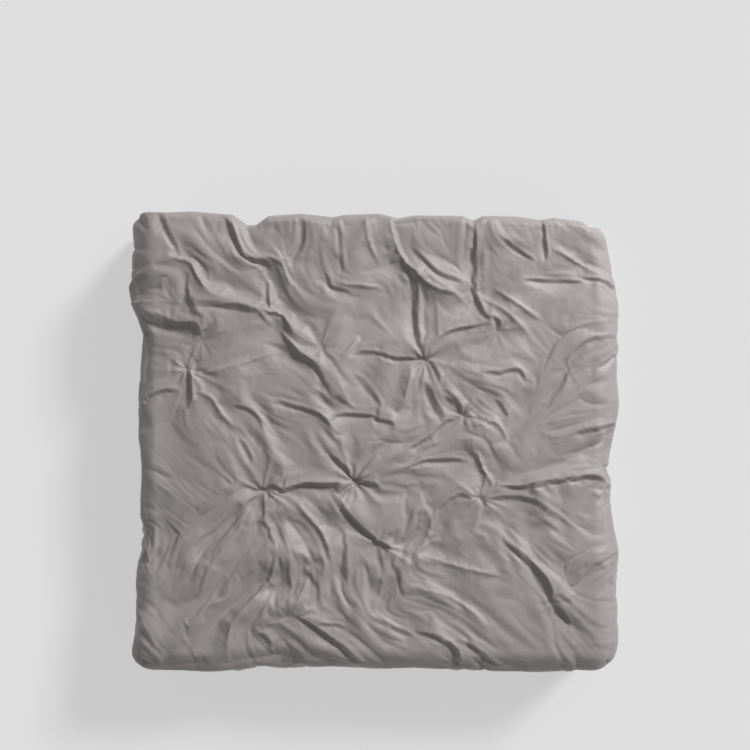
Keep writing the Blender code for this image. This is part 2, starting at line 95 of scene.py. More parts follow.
# Folds in the top of the cover. Each is (height in mm, width in mm, route in cm from the centre).
# A positive height is a soft ridge. A negative one is a crease, with the cloth on its lit side
# standing over it.
FOLDS = [
    # Head end, left
    (14, 26, [
        (-72, 63), (-67, 62), (-62, 60), (-59, 55), (-55, 50),
        (-47, 48), (-38, 45), (-32, 43), (-27, 39), (-19, 35),
    ]),
    (-9, 14, [(-64, 57), (-64, 47), (-53, 45), (-41, 43), (-38, 40)]),
    (-8, 12, [(-32, 43), (-30, 37), (-24, 33), (-18, 32)]),
    (-9, 12, [(-40, 34), (-32, 31), (-22, 26), (-18, 20), (-13, 15), (-6, 11)]),
    (13, 22, [(-34, 39), (-26, 32), (-20, 28), (-13, 21), (-8, 13)]),
    (-12, 12, [(-52, 80), (-47, 68), (-42, 64), (-37, 61), (-37, 57)]),
    (8, 14, [(-38, 68), (-37, 65), (-32, 62), (-28, 53)]),
    (-5, 8, [(-37, 56), (-37, 47), (-35, 45)]),
    (-6, 9, [(-17, 59), (-15, 53), (-8, 51)]),
    (6, 14, [(-14, 55), (2, 53)]),
    (-4, 9, [(-13, 80), (-12, 68), (-11, 55)]),
    (-14, 12, [(-84, 43), (-80, 42), (-74, 39), (-67, 38), (-62, 38), (-62, 35), (-59, 34)]),
    (8, 16, [(-82, 46), (-70, 42), (-62, 42)]),
    (-8, 10, [(-77, 57), (-84, 50)]),
    (-12, 10, [(-64, 25), (-64, 18), (-64, 11)]),
    (8, 14, [(-62, 17), (-56, 15), (-52, 9), (-47, 4)]),
    (5, 14, [(-62, 22), (-50, 25), (-38, 29), (-32, 31)]),
    (-9, 10, [(-66, 17), (-75, 15), (-83, 10)]),
    (-5, 9, [(-49, 12), (-42, 9), (-38, 3)]),
    (-7, 10, [(-36, 14), (-30, 12), (-20, 9), (-14, 4)]),
    (-8, 9, [(-15, 9), (-6, 9), (2, 8)]),
    (-7, 10, [(-7, 30), (2, 30)]),
    (-6, 12, [(-8, 24), (-2, 17), (2, 12)]),
    (6, 14, [(-5, 37), (-12, 27)]),
    (-7, 12, [(-74, 80), (-70, 70), (-66, 64)]),
    (-6, 12, [(-26, 80), (-25, 70), (-28, 62)]),
    (7, 14, [(-3, 80), (-2, 70), (2, 60)]),
    # Head end, right
    (-10, 10, [(34, 80), (33, 67), (33, 59), (33, 51), (36, 44), (41, 38)]),
    (14, 18, [(5, 80), (7, 70), (10, 63), (14, 59), (19, 54), (27, 51), (31, 47)]),
    (-12, 12, [(7, 67), (12, 55), (13, 38), (16, 29)]),
    (-7, 10, [(13, 68), (16, 63), (22, 57), (32, 54)]),
    (-9, 24, [(16, 54), (17, 42), (17, 30)]),
    (-7, 10, [(16, 28), (7, 28), (-1, 31)]),
    (-8, 10, [(18, 29), (24, 36), (34, 39), (37, 40)]),
    (-8, 10, [(18, 27), (22, 20)]),
    (12, 16, [(13, 27), (10, 15), (7, 11)]),
    (-7, 10, [(42, 72), (47, 67), (55, 62)]),
    (-6, 9, [(59, 80), (58, 62)]),
    (7, 16, [(61, 68), (77, 57)]),
    (-8, 9, [(50, 55), (63, 54), (72, 54)]),
    (-8, 9, [(69, 56), (80, 53), (84, 50)]),
    (7, 12, [(34, 51), (45, 44), (53, 36)]),
    (7, 12, [(40, 53), (50, 46), (57, 41)]),
    (-8, 8, [(37, 43), (41, 41), (41, 38)]),
    (-7, 9, [(35, 24), (42, 23), (48, 24), (51, 20)]),
    (-5, 10, [(65, 26), (71, 33), (83, 36)]),
    (-5, 9, [(75, 25), (83, 30)]),
    (-5, 12, [(66, 26), (62, 20), (56, 13)]),
    (-8, 9, [(23, 16), (30, 9)]),
    (9, 12, [(31, 8), (35, 6), (41, 7), (46, 0)]),
    (-9, 10, [(29, 8), (24, 6), (19, 1), (10, -3)]),
    (8, 10, [(23, 19), (27, 16), (34, 8)]),
    (-9, 14, [(17, 21), (18, 15), (23, 6)]),
    (-7, 9, [(-1, 8), (7, 6)]),
    (-5, 9, [(40, 15), (45, 8)]),
    (-9, 10, [(66, 2), (75, 4), (84, 6)]),
    # Foot end, left
    (-9, 10, [(-16, -4), (-7, -13)]),
    (8, 12, [(-7, -13), (2, -4)]),
    (-8, 9, [(-6, -14), (2, -15)]),
    (-12, 12, [(-8, -14), (-16, -16), (-24, -16), (-31, -18), (-34, -16), (-37, -14)]),
    (-11, 12, [(-16, -17), (-13, -22), (-6, -30), (2, -35)]),
    (-13, 22, [(-38, -16), (-46, -25), (-52, -32), (-60, -38), (-62, -44)]),
    (15, 22, [(-37, -20), (-37, -31), (-34, -39), (-35, -47), (-39, -53), (-48, -64), (-50, -76)]),
    (-13, 15, [(-37, -24), (-33, -36), (-32, -47), (-31, -58), (-26, -63)]),
    (-6, 10, [(-47, 1), (-42, -8)]),
    (-8, 12, [(-11, -31), (-11, -50), (-6, -58), (-1, -64)]),
    (7, 14, [(-23, -47), (-27, -59)]),
    (-12, 10, [(-26, -61), (-16, -68), (-7, -74), (-3, -77)]),
    (-8, 9, [(-39, -66), (-35, -72)]),
    (8, 12, [(-65, -59), (-62, -62), (-57, -56), (-50, -53)]),
    (-9, 10, [(-82, -57), (-78, -64), (-74, -71)]),
    (-8, 9, [(-80, -67), (-72, -76)]),
    (-6, 9, [(-81, -36), (-77, -41), (-74, -35)]),
    (-6, 9, [(-20, -63), (-9, -64)]),
    (10, 20, [(-46, -30), (-55, -42), (-60, -53)]),
    (-8, 18, [(-50, -46), (-56, -56), (-58, -64)]),
    (-9, 20, [(-31, -26), (-23, -37), (-19, -50)]),
    (8, 20, [(-28, -20), (-18, -32), (-14, -44)]),
    # Foot end, right
    (-7, 10, [(12, -8), (22, -7), (32, -7)]),
    (-12, 10, [(41, -15), (50, -16), (63, -14), (75, -13), (83, -16)]),
    (10, 12, [(35, -3), (37, -9), (41, -15)]),
    (-8, 11, [(36, -20), (46, -20), (54, -21), (60, -25), (69, -30)]),
    (-6, 10, [(34, -20), (29, -19), (23, -23), (21, -27)]),
    (-9, 26, [(16, -21), (14, -30), (10, -37), (10, -45)]),
    (-7, 9, [(-1, -34), (6, -37)]),
    (-11, 12, [(44, -34), (51, -41), (57, -47), (60, -55)]),
    (-6, 9, [(61, -51), (67, -55)]),
    (-8, 10, [(61, -55), (66, -63)]),
    (-6, 10, [(69, -48), (75, -42), (83, -38)]),
    (-6, 9, [(75, -21), (83, -15)]),
    (5, 16, [(16, -39), (28, -42), (45, -46)]),
    (5, 14, [(13, -49), (28, -54), (40, -63)]),
    (-7, 10, [(-1, -60), (6, -64), (14, -67)]),
    (-11, 10, [(14, -65), (22, -68), (27, -72), (29, -78)]),
    (-8, 9, [(26, -67), (34, -71), (43, -77)]),
    (7, 14, [(3, -44), (2, -52), (-1, -58)]),
]

# Where the cloth is caught: (depth in mm, number of small folds, turn, place in cm)
PINCHES = [
    (12, 7, 0.3, (-64, 24)),
    (13, 8, 0.0, (17, 28)),
    (10, 7, 0.5, (30, 9)),
    (14, 9, 0.2, (-7, -13)),
    (11, 7, 0.8, (-38, -17)),
    (10, 7, 0.1, (36, -19)),
    (6, 6, 0.4, (60, -54)),
    (6, 7, 0.6, (1, -35)),
    (5, 6, 0.9, (-26, -61)),
    (4, 7, 0.2, (-18, 33)),
    (5, 6, 0.7, (41, 38)),
    (5, 6, 0.4, (65, 25)),
    (6, 7, 0.0, (28, -76)),
    (5, 6, 0.3, (-59, 34)),
    (4, 6, 0.5, (33, 52)),
]
LIT_SIDE = Vector((0.62, 0.78))

# How far the outline stands out from its plain place: (place along in cm, offset in mm)
LEFT_OUTLINE = [
    (-79, -4), (-72, 12), (-60, 2), (-15, -22), (0, -20), (36, -22), (42, -12), (47, 6), (78, -2),
]
RIGHT_OUTLINE = [
    (-78, -8), (-68, 8), (-37, 8), (-20, -12), (-3, -8),
    (14, 8), (48, 6), (58, -2), (70, -6), (78, -6),
]
HEAD_OUTLINE = [
    (-83, 0), (-70, -6), (-62, -2), (-55, -8), (-48, -14), (-43, -50), (-40, -48), (-36, -18),
    (-25, -10), (-14, -22), (-10, -14), (2, -10), (8, -26), (14, -16), (30, -18), (33.5, -34),
    (37, -18), (50, -20), (58.5, -32), (64, -24), (74, -36), (83, -45),
]


# How the cotton moves while it settles
COTTON = {
    "quality": 5,
    "mass": 0.01,
    "air_damping": 1,
    "tension_stiffness": 40,
    "compression_stiffness": 40,
    "shear_stiffness": 12,
    "bending_stiffness": 0.5,
    "tension_damping": 5,
    "compression_damping": 5,
    "shear_damping": 5,
    "bending_damping": 0.5,
}


# Shared helpers


def new_object(name, mesh):
    made = bpy.data.objects.new(name, mesh)
    bpy.context.scene.collection.objects.link(made)
    return made


def coordinates(mesh):
    values = np.empty(len(mesh.vertices) * 3)
    mesh.vertices.foreach_get("co", values)
    return values.reshape(-1, 3)


def set_coordinates(mesh, points):
    mesh.vertices.foreach_set("co", np.ascontiguousarray(points, np.float32).ravel())
    mesh.update()


def loop_vertices(mesh):
    """The number of the point at each corner of each face."""
    corners = np.empty(len(mesh.loops), int)
    mesh.loops.foreach_get("vertex_index", corners)
    return corners


def write_uv(mesh, name, flat):
    mesh.uv_layers.new(name=name).data.foreach_set("uv", flat.astype(np.float32).ravel())


def shade_smooth(mesh):
    mesh.polygons.foreach_set("use_smooth", np.ones(len(mesh.polygons), bool))


def run_lengths(line):
    """The distance along a line at each of its points."""
    return np.concatenate([[0], np.cumsum(np.linalg.norm(np.diff(line, axis=0), axis=1))])


def headings(line):
    """The direction of a line at each of its points, as unit vectors."""
    run = np.gradient(line, axis=0)
    return run / np.linalg.norm(run, axis=1)[:, None]


def offset_at(outline, where):
    """An outline's offset at places along it, in metres."""
    places, offsets = zip(*outline)
    return np.interp(where, np.array(places) / 100, np.array(offsets) / 1000)


def smooth_step(value, low, high):
    share = np.clip((value - low) / (high - low), 0, 1)
    return share * share * (3 - 2 * share)


class SoftNoise:
    """Smooth random values over a plane or a space, from a fixed seed."""

    def __init__(self, seed, size=64, axes=2):
        self.size = size
        self.axes = axes
        self.table = np.random.default_rng(seed).uniform(-1, 1, (size,) * axes)

    def __call__(self, *where):
        cells, shares = [], []
        for value in where:
            low = np.floor(value)
            share = value - low
            cells.append(low.astype(int))
            shares.append(share * share * share * (share * (share * 6 - 15) + 10))
        total = 0
        for corner in range(2**self.axes):
            weight = 1
            index = []
            for axis in range(self.axes):
                step = corner >> axis & 1
                weight = weight * (shares[axis] if step else 1 - shares[axis])
                index.append((cells[axis] + step) % self.size)
            total = total + weight * self.table[tuple(index)]
        return total


# The cap: the duvet's shape over the bed


def cap_mesh(name, cell):
    """A box open at the head and below, as fine grids that are welded along its edges."""
    body = bmesh.new()
    length = HEAD_Y - MID_FOOT_Y
    depth = MID_Z - LIP_TOP
    across = round(2 * MID_X / cell)
    along = round(length / cell)
    down = round(depth / cell)
    centre_y = (HEAD_Y + MID_FOOT_Y) / 2
    centre_z = (MID_Z + LIP_TOP) / 2
    quarter = math.pi / 2
    top = Matrix.Translation((0, centre_y, MID_Z)) @ Matrix.Diagonal((MID_X, length / 2, 1, 1))
    bmesh.ops.create_grid(body, x_segments=across, y_segments=along, size=1, matrix=top)
    for side in (-1, 1):
        place = Matrix.Translation((side * MID_X, centre_y, centre_z))
        turn = Matrix.Rotation(side * quarter, 4, "Y")
        scale = Matrix.Diagonal((depth / 2, length / 2, 1, 1))
        matrix = place @ turn @ scale
        bmesh.ops.create_grid(body, x_segments=down, y_segments=along, size=1, matrix=matrix)
    place = Matrix.Translation((0, MID_FOOT_Y, centre_z))
    turn = Matrix.Rotation(quarter, 4, "X")
    scale = Matrix.Diagonal((MID_X, depth / 2, 1, 1))
    bmesh.ops.create_grid(body, x_segments=across, y_segments=down, size=1, matrix=place @ turn @ scale)
    bmesh.ops.remove_doubles(body, verts=body.verts, dist=cell / 20)
    mesh = bpy.data.meshes.new(name)
    body.to_mesh(mesh)
    body.free()
    return mesh


def drops(box):
    """Which way each point hangs: -1 or 1 on a side, else 0, and whether it is on the foot."""
    side = np.sign(box[:, 0]) * (np.abs(box[:, 0]) > MID_X - ON_FACE)
    return side, (box[:, 1] < MID_FOOT_Y + ON_FACE) & (side == 0)


def laid_out(box, side, foot):
    """Where points of the box lie on the flat cloth, in metres, and how far down they hang."""
    hang = MID_Z - box[:, 2]
    return box[:, 0] + side * hang, box[:, 1] - foot * hang, hang


def unrolled(box):
    """The points laid out, each on its own face of the box."""
    return laid_out(box, *drops(box))


def perimeter(box):
    """The distance round the bed from the middle of the foot, for points that hang."""
    side, _ = drops(box)
    return box[:, 0] + side * (box[:, 1] - MID_FOOT_Y)


def rim_distance(box):
    """How far a point is from the nearest open edge: the head fold or a hem."""
    return np.minimum(HEAD_Y - box[:, 1], box[:, 2] - LIP_TOP)


def rounded(box, radius):
    """The box with its edges rounded, as points and outward normals."""
    low = np.array([-MID_X + radius, MID_FOOT_Y + radius, -1.0])
    high = np.array([MID_X - radius, 9.0, MID_Z - radius])
    core = np.clip(box, low, high)
    normal = box - core
    normal /= np.linalg.norm(normal, axis=1)[:, None]
    return core + normal * radius, normal


def route_points(route, step=0.004):
    """Points along a smooth curve through a fold's route, in metres."""
    points = [Vector(point) / 100 for point in route]
    if len(points) == 2:
        points.insert(1, (points[0] + points[1]) / 2)
    ends = [2 * points[0] - points[1]] + points + [2 * points[-1] - points[-2]]
    made = []
    for before, start, end, after in zip(ends, ends[1:], ends[2:], ends[3:]):
        count = max(2, int((end - start).length / step))
        for number in range(count):
            t = number / count
            made.append(
                start
                + (end - before) * (t / 2)
                + (2 * before - 5 * start + 4 * end - after) * (t * t / 2)
                + (3 * start - before - 3 * end + after) * (t * t * t / 2)
            )
    return np.array([tuple(point) for point in made + [points[-1]]])


def crease_shape(across, width):
    """The section of a crease: a sharp low line, and a steep face up to a crest on the lit side."""
    rise = 1.2 * width
    face = -0.4 + 1.25 * np.minimum(across / rise, 1)
    behind = 0.85 * np.exp(-np.maximum(across - rise, 0) / (1.7 * width))
    before = -0.4 * np.exp(np.minimum(across, 0) / (1.3 * width))
    return np.where(across < 0, before, np.where(across < rise, face, behind))


def ridge_shape(across, width):
    """The section of a soft ridge with a narrow crest."""
    near = np.sqrt(np.square(across) + (0.12 * width) ** 2) - 0.12 * width
    return np.exp(-near / (0.66 * width))


def pinch_height(x, y, depth, spokes, turn, place):
    """A dimple where the cloth is caught, with small folds that run out from it."""
    across, along = x - place[0] / 100, y - place[1] / 100
    far = np.hypot(across, along)
    angle = np.arctan2(along, across)
    wander = 0.5 * SoftNoise(spokes)(np.cos(angle) * 1.5 + 9, np.sin(angle) * 1.5 + 9)
    folds = 0.6 - np.abs(np.sin(spokes / 2 * (angle + wander + turn) + 6 * far))
    reach = 0.030
    spread = far / reach * np.exp(1 - far / reach)
    return depth / 1000 * (0.42 * folds * spread - np.exp(-far / 0.016))


def fold_height(x, y, height, width, route):
    """One fold's share of the relief, in metres."""
    line = route_points(route)
    width = (1.1 + 0.06 * abs(height)) * width / 1000
    reach = 4.0 * width
    low, high = line.min(axis=0) - reach, line.max(axis=0) + reach
    near = np.nonzero((x > low[0]) & (x < high[0]) & (y > low[1]) & (y < high[1]))[0]
    relief = np.zeros(len(x))
    if not len(near):
        return relief
    best = np.full(len(near), 1e9)
    signed = np.zeros(len(near))
    share = np.zeros(len(near))
    lengths = run_lengths(line)
    for index, (start, end) in enumerate(zip(line, line[1:])):
        run = end - start
        size = np.linalg.norm(run)
        to = np.stack([x[near] - start[0], y[near] - start[1]], axis=1)
        t = np.clip(to @ run / (size * size), 0, 1)
        off = to - t[:, None] * run
        distance = np.hypot(off[:, 0], off[:, 1])
        closer = distance < best
        side = np.sign(run[0] * off[:, 1] - run[1] * off[:, 0])
        best = np.where(closer, distance, best)
        signed = np.where(closer, side * distance, signed)
        share = np.where(closer, (lengths[index] + t * size) / lengths[-1], share)
    run = Vector(line[-1] - line[0])
    lit = 1 if LIT_SIDE.dot(Vector((-run.y, run.x))) > 0 else -1
    taper = np.minimum(1, np.minimum(share, 1 - share) / 0.28)
    taper = np.sqrt(np.maximum(taper, 0)) * smooth_step(taper, -0.3, 0.8)
    local = width * (0.4 + 0.6 * taper)
    fade = 1 - smooth_step(best, 2.6 * width, 4.0 * width)
    if height > 0:
        shape = ridge_shape(best, local)
    else:
        shape = crease_shape(signed * lit, local)
    relief[near] = abs(height) / 1000 * shape * taper * fade
    return relief


def top_relief(x, y, size):
    """The height of all the folds in the top together."""
    total = np.zeros(len(x))
    for height, width, route in FOLDS:
        total += fold_height(x, y, height * size, width, route)
    for depth, spokes, turn, place in PINCHES:
        total += pinch_height(x, y, depth * size, spokes, turn, place)
    return total


class ClothGrid:
    """Values on a grid over the flat cloth, read between its points."""

    def __init__(self, cell):
        self.cell = cell
        self.low = np.array([-1.16, -1.12])
        self.size = np.ceil(np.array([2.32, 1.94]) / cell).astype(int)

    def places(self):
        """The x and y of every point, as two arrays."""
        x = self.low[0] + np.arange(self.size[0]) * self.cell
        y = self.low[1] + np.arange(self.size[1]) * self.cell
        return np.meshgrid(x, y, indexing="ij")

    def read(self, values, x, y):
        u = np.clip((x - self.low[0]) / self.cell, 0, self.size[0] - 1.001)
        v = np.clip((y - self.low[1]) / self.cell, 0, self.size[1] - 1.001)
        i, j = u.astype(int), v.astype(int)
        u, v = u - i, v - j
        near = values[i, j] * (1 - v) + values[i, j + 1] * v
        far = values[i + 1, j] * (1 - v) + values[i + 1, j + 1] * v
        return near * (1 - u) + far * u


def fold_directions(grid):
    """The way the folds run at every point of the grid, as unit x and y."""
    x, y = grid.places()
    doubled = np.zeros(x.shape, complex)
    doubled += 0.10 * np.exp(2j * math.radians(-38))
    side = smooth_step(np.abs(x), 0.74, 0.86)
    foot = smooth_step(-y, 0.72, 0.84) * (1 - side)
    doubled += 1.2 * side - 1.2 * foot
    for height, width, route in FOLDS:
        line = route_points(route, 0.02)
        for start, end in zip(line, line[1:]):
            middle = (start + end) / 2
            run = complex(*(end - start))
            far = (x - middle[0]) ** 2 + (y - middle[1]) ** 2
            doubled += abs(height) / 8 * (run / abs(run)) ** 2 * np.exp(-far / 0.05**2)
    turn = np.angle(doubled) / 2
    return np.cos(turn), np.sin(turn)


def blurred(values, reach):
    """The values blurred by a bell of that reach, in cells."""
    steps = [np.fft.fftfreq(count) for count in values.shape]
    bell = np.exp(-2 * (math.pi * reach) ** 2 * (steps[0][:, None] ** 2 + steps[1][None, :] ** 2))
    return np.fft.ifft2(np.fft.fft2(values) * bell).real


def streaks(seed, pitch, length, cell=0.005):
    """Streaks of a given width that run with the folds, as a grid and its values."""
    grid = ClothGrid(cell)
    coarse = ClothGrid(0.02)
    run_x, run_y = fold_directions(coarse)
    doubled = (run_x + 1j * run_y) ** 2
    x, y = grid.places()
    noise = np.random.default_rng(seed).normal(size=x.shape)
    noise = blurred(noise, pitch / cell / 4)
    total = noise.copy()
    count = max(2, int(length / cell / 2))
    for way in (1, -1):
        at_x, at_y = x.copy(), y.copy()
        last = None
        for number in range(1, count + 1):
            turn = np.angle(coarse.read(doubled, at_x, at_y)) / 2
            step = np.exp(1j * turn)
            if last is None:
                step = step * way
            else:
                step = np.where((step * last.conjugate()).real < 0, -step, step)
            last = step
            at_x += step.real * cell
            at_y += step.imag * cell
            total += math.cos(number / count * math.pi / 2) * grid.read(noise, at_x, at_y)
    return grid, total / total.std()


def rim_share(box):
    """Where relief may start, coming in from the head edge and the hems."""
    head = smooth_step(HEAD_Y - box[:, 1], 0.0, HEAD_CALM)
    return head * smooth_step(box[:, 2] - LIP_TOP, 0.0, HEM_CALM)


def drape_relief(box, hang):
    """Upright flutes in the hanging sides, deeper towards the hem."""
    run = perimeter(box)
    noise = SoftNoise(71)
    sway = 0.05 * noise(run / 0.3 + 40, hang / 0.25)
    wide = noise((run + sway) / 0.16, hang / 0.9 + 3)
    narrow = noise((run + sway) / 0.07 + 20, hang / 0.6 + 9)
    level = noise(run / 0.34 + 50, hang / 0.09 + 30)
    depth = smooth_step(hang, 0.0, 0.20)
    return depth * (0.014 * wide + 0.008 * narrow) + 0.009 * level * smooth_step(hang, 0.0, 0.08)


def outline_relief(box):
    """How far the duvet's outline stands out or draws in along the left and right."""
    left, right = (offset_at(outline, box[:, 1]) for outline in (LEFT_OUTLINE, RIGHT_OUTLINE))
    return np.where(box[:, 0] < 0, left, right) * smooth_step(np.abs(box[:, 0]), 0.55, 0.80)


def calm_share(box):
    """Where the surface may leave its plain shape: 0 at the rim and round the zip, 1 elsewhere."""
    calm = rim_share(box)
    at_foot = 1 - smooth_step(box[:, 1] - MID_FOOT_Y, 0.0, 0.10)
    below = 1 - smooth_step(box[:, 2], 0.072, 0.11)
    inside = 1 - smooth_step(np.abs(box[:, 0]), 0.68, 0.74)
    return calm * (1 - at_foot * below * inside)


def swell_share(box):
    """The quarter-round in which each face closes to the seam at the rim."""
    rim = np.clip(rim_distance(box) / HALF_LOFT, 0, 1)
    return np.sqrt(np.clip(1 - np.square(1 - rim), 0, 1))


def billows():
    """Long soft swells and short fine ones that run with the folds: grid, values and height."""
    return [(*streaks(3, 0.085, 0.26), 0.0036), (*streaks(4, 0.030, 0.18), 0.0010)]


def outer_points(box, size, swells):
    """The outside of the cover before it settles."""
    base, normal = rounded(box, EDGE_ROUND)
    x, y, hang = unrolled(box)
    big = SoftNoise(5)
    bend = 0.05 * SoftNoise(15)(x / 0.31, y / 0.31)
    along, across = 0.8 * x + 0.6 * y + bend, 0.8 * y - 0.6 * x - bend
    slow = 0.009 * big(along / 0.23, across / 0.19)
    slow += 0.005 * big(across / 0.11 + 20, along / 0.13 + 7)
    slow -= 0.010 * (1 - smooth_step(hang, 0.0, 0.05)) * smooth_step(HEAD_Y - y, 0.02, 0.20)
    top = 1 - smooth_step(hang, 0.10, 0.26)
    relief = top * top_relief(x, y, size) + slow
    patchy = smooth_step(SoftNoise(6)(x / 0.17 + 3, y / 0.17), -0.35, 0.5)
    for grid, values, height in swells:
        crests = np.abs(grid.read(values, x, y)) - 0.8
        relief += (0.2 + 0.8 * patchy) * height * crests
    corner = np.hypot(MID_X - np.abs(box[:, 0]), box[:, 1] - MID_FOOT_Y)
    relief *= 1 - smooth_step(hang, 0.0, 0.04) * (1 - smooth_step(corner, 0.0, 0.07))
    relief += drape_relief(box, hang) + outline_relief(box)
    return base + normal * (swell_share(box) * HALF_LOFT + relief * calm_share(box))[:, None]


def inner_points(box):
    """The side of the cover that lies against the mattress."""
    base, normal = rounded(box, EDGE_ROUND)
    x, y, hang = unrolled(box)
    slack = 0.004 * smooth_step(hang, 0.03, 0.12) * SoftNoise(8)(x / 0.12, y / 0.12)
    return base - normal * (swell_share(box) * HALF_LOFT - slack * calm_share(box))[:, None]


def add_weights(piece, name, weights):
    """A vertex group with a weight for each point, in steps of a thousandth."""
    group = piece.vertex_groups.new(name=name)
    steps = np.round(np.clip(weights, 0, 1) * 1000).astype(int)
    for step in np.unique(steps):
        group.add(np.nonzero(steps == step)[0].tolist(), float(step) / 1000, "REPLACE")


def settle(piece, hold, growth, settings):
    """Runs the cloth simulation on a piece and returns the points of its last shape."""
    add_weights(piece, "hold", hold)
    add_weights(piece, "still", np.round((1 - growth) * 50) / 50)
    cloth = piece.modifiers.new("settling", "CLOTH")
    sheet = cloth.settings
    for name, value in COTTON.items():
        setattr(sheet, name, value)
    sheet.vertex_group_mass = "hold"
    sheet.pin_stiffness = 1
    sheet.vertex_group_shrink = "still"
    sheet.shrink_min = -settings.growth / 100
    sheet.shrink_max = 0
    sheet.effector_weights.gravity = 0
    cloth.point_cache.frame_start = 1
    cloth.point_cache.frame_end = settings.frames
    scene = bpy.context.scene
    for number in range(1, settings.frames + 1):
        scene.frame_set(number)
    seen = piece.evaluated_get(bpy.context.evaluated_depsgraph_get())
    points = coordinates(seen.data).copy()
    piece.modifiers.remove(cloth)
    piece.vertex_groups.clear()
    scene.frame_set(1)
    return points


def subdivided(piece):
    """A piece's mesh after one round of smooth subdivision."""
    finer = piece.modifiers.new("finer", "SUBSURF")
    finer.levels = finer.render_levels = 1
    seen = piece.evaluated_get(bpy.context.evaluated_depsgraph_get())
    mesh = bpy.data.meshes.new_from_object(seen)
    piece.modifiers.remove(finer)
    return mesh


def vectors(mesh, name):
    values = np.empty(len(mesh.vertices) * 3)
    mesh.attributes[name].data.foreach_get("vector", values)
    return values.reshape(-1, 3)


def lay_flat(mesh, box):
    """Gives a mesh the flat cloth's own coordinates, in metres, as its UV map."""
    corners = loop_vertices(mesh)
    counts = np.empty(len(mesh.polygons), int)
    mesh.polygons.foreach_get("loop_total", counts)
    faces = np.repeat(np.arange(len(counts)), counts)
    places = box[corners]
    middle = np.stack([np.bincount(faces, places[:, axis]) / counts for axis in range(3)], axis=1)
    side, foot = drops(middle)
    x, y, _ = laid_out(places, side[faces], foot[faces])
    write_uv(mesh, "cloth", np.stack([x, y], axis=1))


def outside_mesh(settings):
    """The outside of the cover: seeded with its folds, settled as cloth and refined."""
    swells = billows()
    outer = cap_mesh("cover_outside", settings.cell)
    box = coordinates(outer).copy()
    places = outer.attributes.new("box", "FLOAT_VECTOR", "POINT")
    places.data.foreach_set("vector", box.astype(np.float32).ravel())
    seeded = outer_points(box, settings.fold_size, swells)
    set_coordinates(outer, seeded)
    piece = new_object("settling_cover", outer)
    plain = subdivided(piece)
    fine_box = vectors(plain, "box")
    points = outer_points(fine_box, settings.fold_size, swells)
    x, y, _ = unrolled(box)
    calm = calm_share(box)
    folds = np.zeros(len(x))
    for height, width, route in FOLDS:
        folds = np.maximum(folds, fold_height(x, y, abs(height), width * 1.5, route) / 0.010)
    growth = (0.15 + 0.85 * np.clip(folds, 0, 1)) * calm
    hold = np.where(calm < 0.02, 1.0, 0.02 + 0.2 * smooth_step(calm, 0.4, 0.0))
    settled = settle(piece, hold, growth, settings)
    set_coordinates(outer, settled)
    refined = subdivided(piece)
    points = points + coordinates(refined) - coordinates(plain)
    bpy.data.meshes.remove(refined)
    bpy.data.objects.remove(piece)
    bpy.data.meshes.remove(outer)
    set_coordinates(plain, points)
    lay_flat(plain, fine_box)
    return plain, fine_box


def sharpened(mesh, points, amount):
    """Makes the crests and creases crisper: each point moves away from its neighbours' middle."""
    ends = np.empty(len(mesh.edges) * 2, int)
    mesh.edges.foreach_get("vertices", ends)
    start, end = ends[::2], ends[1::2]
    count = np.bincount(start, minlength=len(points)) + np.bincount(end, minlength=len(points))
    smooth = points.copy()
    for _ in range(4):
        total = np.zeros_like(points)
        for axis in range(3):
            total[:, axis] = np.bincount(start, smooth[end, axis], len(points))
            total[:, axis] += np.bincount(end, smooth[start, axis], len(points))
        smooth = smooth * 0.4 + 0.6 * total / count[:, None]
    return points + (points - smooth) * amount[:, None]


def cut_zip_slot(points, box):
    """Sinks the cover behind the zip's tapes, with rows of points along both edges of the slot."""
    at_foot = drops(box)[1] & (np.abs(box[:, 0]) < ZIP_HIGH.x + 0.003)
    rows = np.unique(box[at_foot, 2].round(5))
    lower = int(np.argmin(np.abs(rows - ZIP_LOW.z)))
    upper = int(np.argmin(np.abs(rows - ZIP_TOP_Z)))
    for row, height in ((lower, ZIP_LOW.z), (upper - 1, ZIP_TOP_Z)):
        for step, shift in ((0, -SLOT_EDGE), (1, SLOT_EDGE)):
            here = at_foot & (np.abs(box[:, 2] - rows[row + step]) < ON_FACE)
            points[here, 2] = height + shift
    inside = at_foot & (box[:, 2] > rows[lower + 1] - ON_FACE) & (box[:, 2] < rows[upper - 1] + ON_FACE)
    points[inside, 1] = ZIP_HIGH.y + SLOT_SINK
    return points


def pressed_down(points):
    """Keeps the highest crests under the loft's own height."""
    knee = TOP_Z + CREST_KNEE
    over = np.maximum(points[:, 2] - knee, 0)
    rise = CREST_ROOM * (1 - np.exp(-over / CREST_ROOM))
    points[:, 2] = np.minimum(points[:, 2], knee) + rise
    return points


def draw_in_head(points):
    """The dip and the waves of the head edge, moved through the whole thickness."""
    share = smooth_step(points[:, 1], 0.50, 0.76)
    points[:, 1] += share * offset_at(HEAD_OUTLINE, points[:, 0])
    for side, radius in HEAD_CORNERS:
        out = side * points[:, 0] - (MID_X + HALF_LOFT - radius)
        on = points[:, 1] - (HEAD_Y - radius)
        here = (out > 0) & (on > 0)
        shrink = np.maximum(out, on)[here] / np.hypot(out, on)[here]
        points[here, 0] = side * (MID_X + HALF_LOFT - radius + out[here] * shrink)
        points[here, 1] = HEAD_Y - radius + on[here] * shrink
    near = smooth_step(points[:, 1], 0.54, 0.79)
    points[:, 0] -= HEAD_SHIFT * near * smooth_step(points[:, 0], 0.3, 0.8)
    return points


